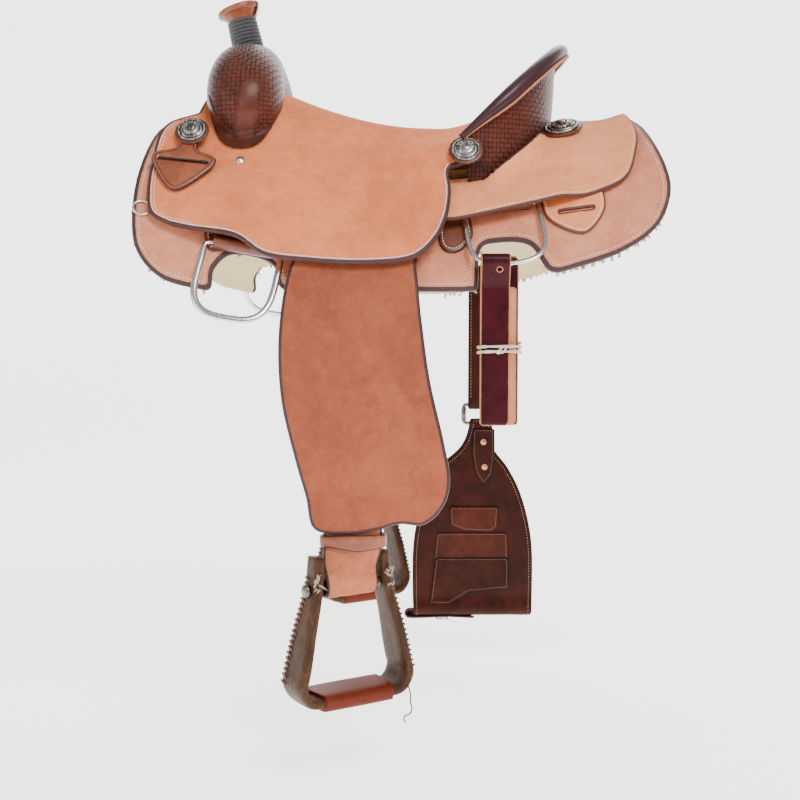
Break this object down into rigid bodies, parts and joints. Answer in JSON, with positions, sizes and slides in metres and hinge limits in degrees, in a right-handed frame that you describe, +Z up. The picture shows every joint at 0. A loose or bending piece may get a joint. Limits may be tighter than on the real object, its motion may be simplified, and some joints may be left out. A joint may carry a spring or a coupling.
{
  "type": "calf roping saddle",
  "caption": "Western roping saddle: horn, swell fork, cantle, rough-out seat and skirts, fenders with bell stirrups, latigo and flank cinch.",
  "frame": {"origin": "on the centre line, where the saddle's lining meets the ridge of the back or rack that carries it", "axes": "+X towards the cantle and the horse's tail, -Y the near (left) side, +Z up"},
  "size_m": [0.7124, 0.7014, 0.9794],
  "materials": {
    "fleece": "woolly",
    "skirt_leather": "rough side out, with stitched dark edges",
    "tree_wood": "rawhide covered",
    "jockey_leather": "rough side out",
    "seat_rough_leather": "rough side out, with dyed edges",
    "ground_seat_leather": "plain, hidden",
    "keeper_leather": "smooth, stitched",
    "dark_stamped_leather": "basket-weave stamped, glossy",
    "russet_leather": "glossy",
    "horn_rubber": "matt",
    "rigging_leather": "smooth",
    "dee_steel": "satin",
    "bolt_steel": "worn",
    "fender_rough_leather": "rough side out, creased",
    "stirrup_rawhide": "rawhide, streaked",
    "antique_silver": "antiqued, domed",
    "latigo_leather": "smooth, waxy, with raw edges",
    "elastic_band": "twisted cord",
    "flank_leather": "smooth, stitched",
    "buckle_steel": "dark, worn"
  },
  "bodies": {
    "saddle": {"cantle_back_cover": "dark_stamped_leather", "cantle_core": "tree_wood", "cantle_roll": "russet_leather", "fork_core": "tree_wood", "ground_seat": "ground_seat_leather", "horn_cap_cover": "russet_leather", "horn_post": "russet_leather", "horn_wrap": "horn_rubber", "near_corner_concho": "antique_silver", "near_fleece": "fleece", "near_front_rigging_leather": "rigging_leather", "near_keeper_concho": "antique_silver", "near_rear_concho": "antique_silver", "near_rear_jockey": "jockey_leather", "near_rear_keeper": "keeper_leather", "near_rear_rigging_leather": "rigging_leather", "near_skirt": "skirt_leather", "near_tree_bar": "tree_wood", "off_corner_concho": "antique_silver", "off_fleece": "fleece", "off_front_rigging_leather": "rigging_leather", "off_keeper_concho": "antique_silver", "off_rear_concho": "antique_silver", "off_rear_jockey": "jockey_leather", "off_rear_keeper": "keeper_leather", "off_rear_rigging_leather": "rigging_leather", "off_skirt": "skirt_leather", "off_tree_bar": "tree_wood", "seat_leather": "seat_rough_leather", "swell_cover": "dark_stamped_leather"},
    "near_leather": {"near_leather_top": "fender_rough_leather"},
    "near_fender": {"near_fender": "fender_rough_leather", "near_stirrup_leather": "fender_rough_leather", "near_hobble_strap": "russet_leather"},
    "near_stirrup": {"near_stirrup": "stirrup_rawhide", "near_stirrup_tread": "russet_leather", "near_stirrup_bolt": "bolt_steel"},
    "near_front_dee": {"near_front_dee": "dee_steel"},
    "near_rear_dee": {"near_rear_dee": "dee_steel"},
    "near_breast_dee": {"near_breast_dee": "dee_steel"},
    "near_front_keeper": {"near_front_keeper": "russet_leather"},
    "off_leather": {"off_leather_top": "fender_rough_leather"},
    "off_fender": {"off_fender": "fender_rough_leather", "off_stirrup_leather": "fender_rough_leather", "off_hobble_strap": "russet_leather"},
    "off_stirrup": {"off_stirrup": "stirrup_rawhide", "off_stirrup_tread": "russet_leather", "off_stirrup_bolt": "bolt_steel"},
    "off_front_dee": {"off_front_dee": "dee_steel"},
    "off_rear_dee": {"off_rear_dee": "dee_steel"},
    "off_breast_dee": {"off_breast_dee": "dee_steel"},
    "off_front_keeper": {"off_front_keeper": "russet_leather"},
    "latigo": {"latigo_strap": "latigo_leather", "latigo_band": "elastic_band"},
    "flank_billet": {"flank_billet": "flank_leather"},
    "flank_buckle": {"flank_buckle": "buckle_steel"},
    "flank_cinch": {"flank_cinch": "flank_leather", "cinch_connector_strap": "flank_leather"}
  },
  "joints": [
    {"name": "near_leather_swing", "type": "hinge", "parent": "saddle", "child": "near_leather", "pos_m": [-0.06, -0.17351, -0.05016], "axis": [0, 1, 0], "range_deg": [-5, 4]},
    {"name": "near_fender_lift", "type": "hinge", "parent": "near_leather", "child": "near_fender", "pos_m": [-0.06, -0.23551, -0.111], "axis": [-1, 0, 0], "range_deg": [0, 6]},
    {"name": "near_stirrup_swing", "type": "hinge", "parent": "near_fender", "child": "near_stirrup", "pos_m": [-0.066, -0.28299, -0.546], "axis": [0.848, 0.5299, 0], "range_deg": [-45, 45]},
    {"name": "near_front_dee_swing", "type": "hinge", "parent": "saddle", "child": "near_front_dee", "pos_m": [-0.2025, -0.2341, -0.112], "axis": [-0.9838, 0, 0.1793], "range_deg": [0, 38]},
    {"name": "near_rear_dee_swing", "type": "hinge", "parent": "saddle", "child": "near_rear_dee", "pos_m": [0.134, -0.17838, -0.055], "axis": [-0.9924, 0, -0.1232], "range_deg": [0, 10]},
    {"name": "near_breast_dee_swing", "type": "hinge", "parent": "saddle", "child": "near_breast_dee", "pos_m": [-0.3275, -0.21305, -0.062], "axis": [0.2161, 0.5986, 0.7713], "range_deg": [0, 10]},
    {"name": "near_keeper_turn", "type": "hinge", "parent": "saddle", "child": "near_front_keeper", "pos_m": [-0.28131, -0.14708, 0.04487], "axis": [-0.0383, -0.8099, 0.5853], "range_deg": [-10, 10]},
    {"name": "off_leather_swing", "type": "hinge", "parent": "saddle", "child": "off_leather", "pos_m": [-0.06, 0.17351, -0.05016], "axis": [0, 1, 0], "range_deg": [-5, 4]},
    {"name": "off_fender_lift", "type": "hinge", "parent": "off_leather", "child": "off_fender", "pos_m": [-0.06, 0.23551, -0.111], "axis": [1, 0, 0], "range_deg": [0, 6]},
    {"name": "off_stirrup_swing", "type": "hinge", "parent": "off_fender", "child": "off_stirrup", "pos_m": [-0.066, 0.28299, -0.546], "axis": [0.848, 0.5299, 0], "range_deg": [-14, 45]},
    {"name": "off_front_dee_swing", "type": "hinge", "parent": "saddle", "child": "off_front_dee", "pos_m": [-0.2025, 0.2341, -0.112], "axis": [0.9838, 0, -0.1793], "range_deg": [0, 38]},
    {"name": "off_rear_dee_swing", "type": "hinge", "parent": "saddle", "child": "off_rear_dee", "pos_m": [0.134, 0.17838, -0.055], "axis": [0.9924, 0, 0.1232], "range_deg": [0, 10]},
    {"name": "off_breast_dee_swing", "type": "hinge", "parent": "saddle", "child": "off_breast_dee", "pos_m": [-0.3275, 0.21305, -0.062], "axis": [-0.2161, 0.5986, -0.7713], "range_deg": [0, 10]},
    {"name": "off_keeper_turn", "type": "hinge", "parent": "saddle", "child": "off_front_keeper", "pos_m": [-0.28131, 0.14708, 0.04487], "axis": [-0.0383, 0.8099, 0.5853], "range_deg": [-10, 10]},
    {"name": "latigo_swing", "type": "hinge", "parent": "near_rear_dee", "child": "latigo", "pos_m": [0.129, -0.24339, -0.12683], "axis": [1, 0, 0], "range_deg": [-12, 12]},
    {"name": "billet_swing", "type": "hinge", "parent": "off_rear_dee", "child": "flank_billet", "pos_m": [0.138, 0.25211, -0.12824], "axis": [1, 0, 0], "range_deg": [-12, 12]},
    {"name": "buckle_swing", "type": "hinge", "parent": "flank_billet", "child": "flank_buckle", "pos_m": [0.138, 0.25211, -0.357], "axis": [1, 0, 0], "range_deg": [-25, 25]},
    {"name": "cinch_swing", "type": "hinge", "parent": "flank_buckle", "child": "flank_cinch", "pos_m": [0.138, 0.25211, -0.388], "axis": [1, 0, 0], "range_deg": [-25, 25]}
  ]
}
